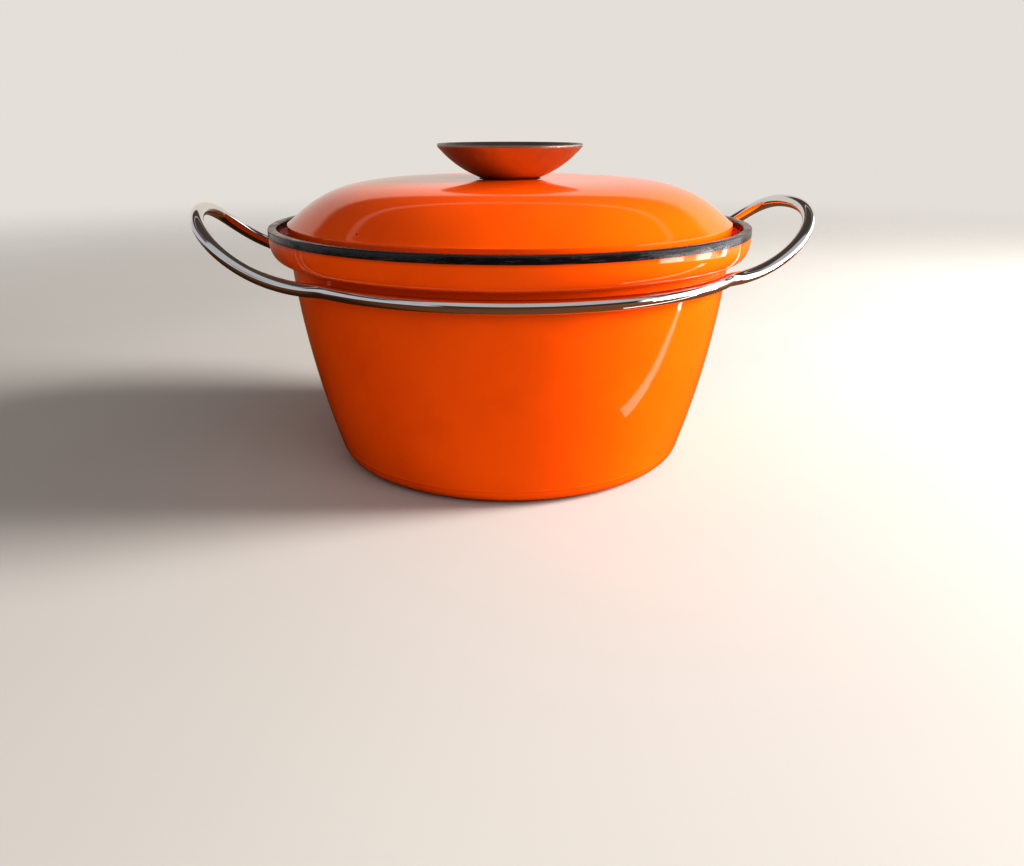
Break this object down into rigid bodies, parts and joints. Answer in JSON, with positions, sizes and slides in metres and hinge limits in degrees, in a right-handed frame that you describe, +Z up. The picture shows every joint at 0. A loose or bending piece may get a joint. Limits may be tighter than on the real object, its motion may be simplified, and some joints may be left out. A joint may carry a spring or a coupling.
{
  "type": "enamelled cast-iron casserole with wire cradle",
  "caption": "Round tapering enamelled cast-iron casserole with a recessed domed lid, a dish-shaped steel knob and a bent-rod cradle that forms two loop handles.",
  "frame": {"origin": "centre of the flat base, on the surface it stands on", "axes": "+Z up through the knob, +X through the two handles, -Y the side seen when it is in use"},
  "size_m": [0.2696, 0.21, 0.1369],
  "materials": {
    "orange_enamel": "glossy orange vitreous enamel on cast iron, black ground coat at the rim",
    "chromed_rod": "polished chrome plate on steel rod",
    "satin_steel": "satin stainless steel, turned",
    "plated_steel": "dull zinc plate",
    "black_fibre": "matt black fibre"
  },
  "bodies": {
    "pot": {"pot_body": "orange_enamel"},
    "cradle": {"cradle_rod": "chromed_rod"},
    "lid": {"lid_dome": "orange_enamel", "knob_seat_washer": "black_fibre", "knob_dish": "satin_steel", "screw_washer": "plated_steel", "knob_screw": "plated_steel"}
  },
  "joints": [
    {"name": "lid_lift", "type": "slide", "parent": "pot", "child": "lid", "axis": [0, 0, 1], "range_m": [0, 0.12]},
    {"name": "cradle_turn", "type": "hinge", "parent": "pot", "child": "cradle", "pos_m": [0, 0, 0.0853], "axis": [0, 0, 1], "continuous": true}
  ]
}
